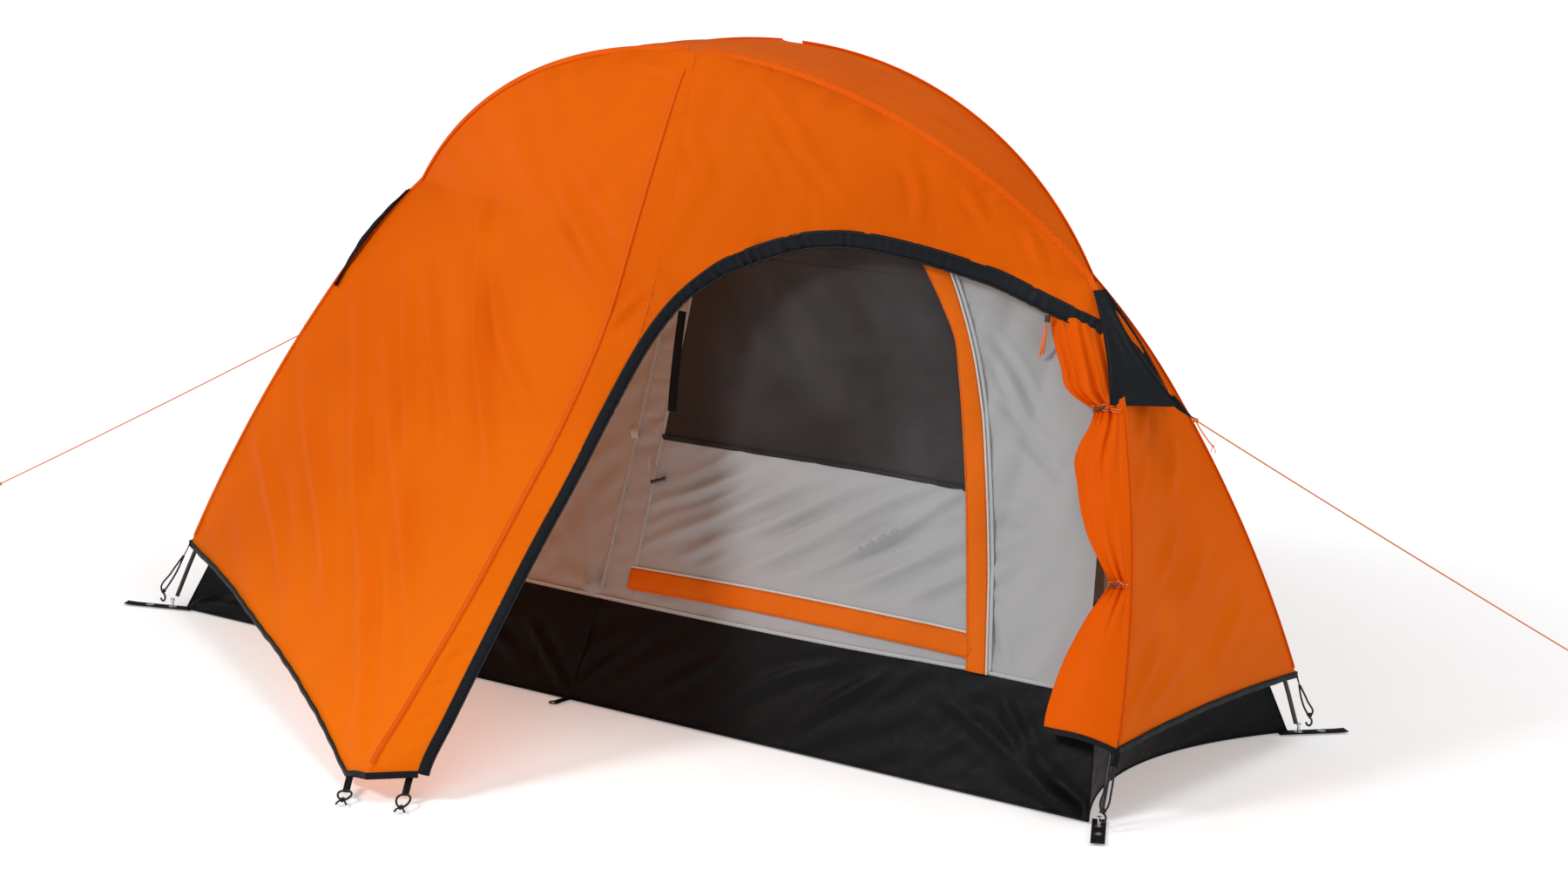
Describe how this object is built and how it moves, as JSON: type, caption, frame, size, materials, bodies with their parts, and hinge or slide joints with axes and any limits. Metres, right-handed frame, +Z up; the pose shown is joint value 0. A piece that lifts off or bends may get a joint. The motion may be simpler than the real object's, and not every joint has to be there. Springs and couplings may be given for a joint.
{
  "type": "dome tent",
  "caption": "One-person dome tent: grey inner with black floor on two leaning arched poles, orange rainfly with front vestibule, tied-back door and guy lines.",
  "frame": {"origin": "on the ground, in the middle between the four pole feet, at the underside of the floor", "axes": "+X along the long side to the right seen from the door side, +Y to the rear, +Z up; the door side faces -Y"},
  "size_m": [3.6192, 2.2836, 1.232],
  "materials": {
    "pole_tube": "satin fibreglass",
    "steel": "satin",
    "webbing": "woven webbing",
    "shock_cord": "braided elastic",
    "floor_cloth": "coated cloth, slight sheen",
    "inner_cloth": "breathable cloth, satin",
    "mesh_cloth": "fine dark mesh",
    "clip_plastic": "matte",
    "zip_coil": "matte",
    "flap_cloth": "coated cloth",
    "white_cord": "braided cord",
    "fly_cloth": "coated ripstop cloth, satin",
    "black_trim": "coated cloth",
    "orange_cord": "braided cord",
    "toggle_wood": "brown plastic"
  },
  "bodies": {
    "tent": {"pole_a_tubes": "pole_tube", "pole_a_ferrules": "steel", "pole_b_tubes": "pole_tube", "pole_b_ferrules": "steel", "pole_tips": "steel", "corner_tabs": "webbing", "tab_eyelets": "steel", "edge_loops": "webbing", "floor": "floor_cloth", "tub_front": "floor_cloth", "tub_back": "floor_cloth", "tub_left": "floor_cloth", "tub_right": "floor_cloth", "wall_front_left": "inner_cloth", "wall_front_post": "inner_cloth", "wall_sill": "inner_cloth", "wall_front_right": "inner_cloth", "mesh_gable": "mesh_cloth", "wall_back": "inner_cloth", "wall_left_end": "inner_cloth", "wall_right_end": "inner_cloth", "roof_mesh": "mesh_cloth", "pole_clips": "clip_plastic", "zip_upright": "zip_coil", "zip_sill": "zip_coil", "flap_upright": "flap_cloth", "flap_sill": "flap_cloth", "flap_lower": "flap_cloth", "tie_loop": "white_cord"},
    "inner_door": {"door_panel": "inner_cloth", "door_mesh": "mesh_cloth"},
    "upright_slider": {"slider_upright": "steel"},
    "sill_slider": {"slider_sill": "steel"},
    "tie_toggle": {"tie_toggle": "clip_plastic"},
    "rainfly": {"fly_front_left": "fly_cloth", "fly_front_strip": "fly_cloth", "fly_header": "fly_cloth", "fly_roof": "fly_cloth", "fly_back": "fly_cloth", "fly_left_end": "fly_cloth", "fly_right_end": "fly_cloth", "door_band": "black_trim", "hem_binding": "black_trim", "gathered_door": "fly_cloth", "gather_ties": "orange_cord", "gather_toggles": "toggle_wood", "guy_patches": "black_trim", "shock_loops": "shock_cord", "peg_tabs": "webbing", "peg_loops": "shock_cord", "fly_slider": "clip_plastic", "hanging_strap": "webbing", "guy_cord_right": "orange_cord", "guy_cord_left": "orange_cord", "guy_cord_knots": "orange_cord"},
    "zip_pull": {"fly_zip_pull": "orange_cord"}
  },
  "joints": [
    {"name": "fly_lift", "type": "slide", "parent": "tent", "child": "rainfly", "axis": [0, 0, 1], "range_m": [0, 1.3]},
    {"name": "inner_door_hinge", "type": "hinge", "parent": "tent", "child": "inner_door", "pos_m": [0.025, -0.3274, 0.25], "axis": [0.0351, 0.2213, 0.9746], "range_deg": [0, 42]},
    {"name": "upright_zip_slide", "type": "slide", "parent": "tent", "child": "upright_slider", "axis": [-0.3043, 0.3262, 0.895], "range_m": [0, 0.25]},
    {"name": "sill_zip_slide", "type": "slide", "parent": "tent", "child": "sill_slider", "axis": [-0.9923, -0.1237, 0], "range_m": [0, 0.25]},
    {"name": "tie_toggle_swing", "type": "hinge", "parent": "tent", "child": "tie_toggle", "pos_m": [0.04692, -0.29762, 0.4385], "axis": [1, 0, 0], "range_deg": [-60, 0]},
    {"name": "zip_pull_swing", "type": "hinge", "parent": "rainfly", "child": "zip_pull", "pos_m": [0.7317, -0.0741, 0.798], "axis": [1, 0, 0], "range_deg": [-50, 0]}
  ]
}
